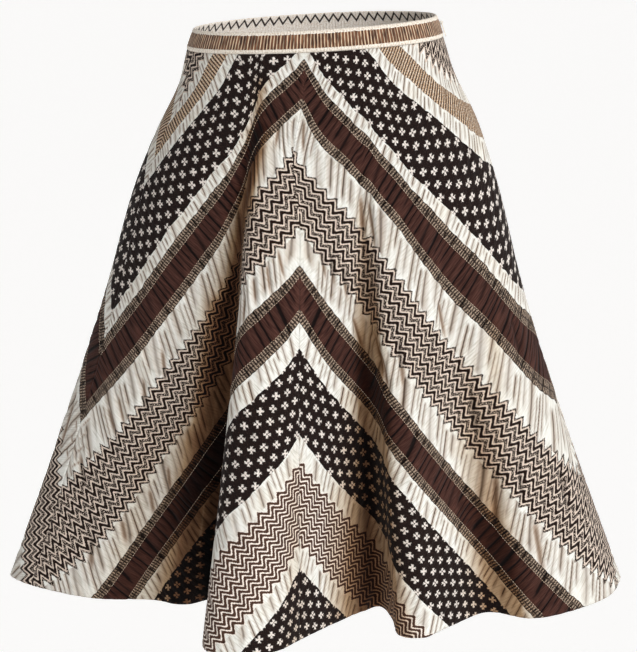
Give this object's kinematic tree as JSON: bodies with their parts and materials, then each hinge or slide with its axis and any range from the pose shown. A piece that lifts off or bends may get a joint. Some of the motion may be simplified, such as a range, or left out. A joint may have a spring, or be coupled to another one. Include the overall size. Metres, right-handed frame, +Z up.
{
  "type": "midi skirt",
  "caption": "Flared midi skirt of four mitred gores in a brown and white banded weave with small crosses and zigzags, on a shaped ribbed waistband, with a concealed side zip, standing open as worn.",
  "frame": {"origin": "centre of the waist opening, at the mean height of the waist edge", "axes": "front of the skirt towards -Y, the wearer's left side towards +X, +Z up"},
  "size_m": [0.7717, 0.413, 0.6993],
  "materials": {
    "cloth": "woven cotton jacquard, off-white ground with dark brown crosses and zigzags, crinkled",
    "band_cloth": "ribbed brown weave, folded double",
    "zip_tape": "woven polyester tape",
    "zip_metal": "enamelled zinc"
  },
  "bodies": {
    "skirt": {"gore_front_right": "cloth", "gore_front_left": "cloth", "gore_back_left": "cloth", "gore_back_right": "cloth", "waistband": "band_cloth", "zip_tape_front": "zip_tape", "zip_tape_back": "zip_tape", "zip_slider": "zip_metal"},
    "pull_tab": {"zip_pull_tab": "zip_metal"}
  },
  "joints": [
    {"name": "pull_tab_swing", "type": "hinge", "parent": "skirt", "child": "pull_tab", "pos_m": [0.14804, -0.00003, -0.00328], "axis": [-0.0026, -0.9999, -0.017], "range_deg": [0, 150]}
  ]
}
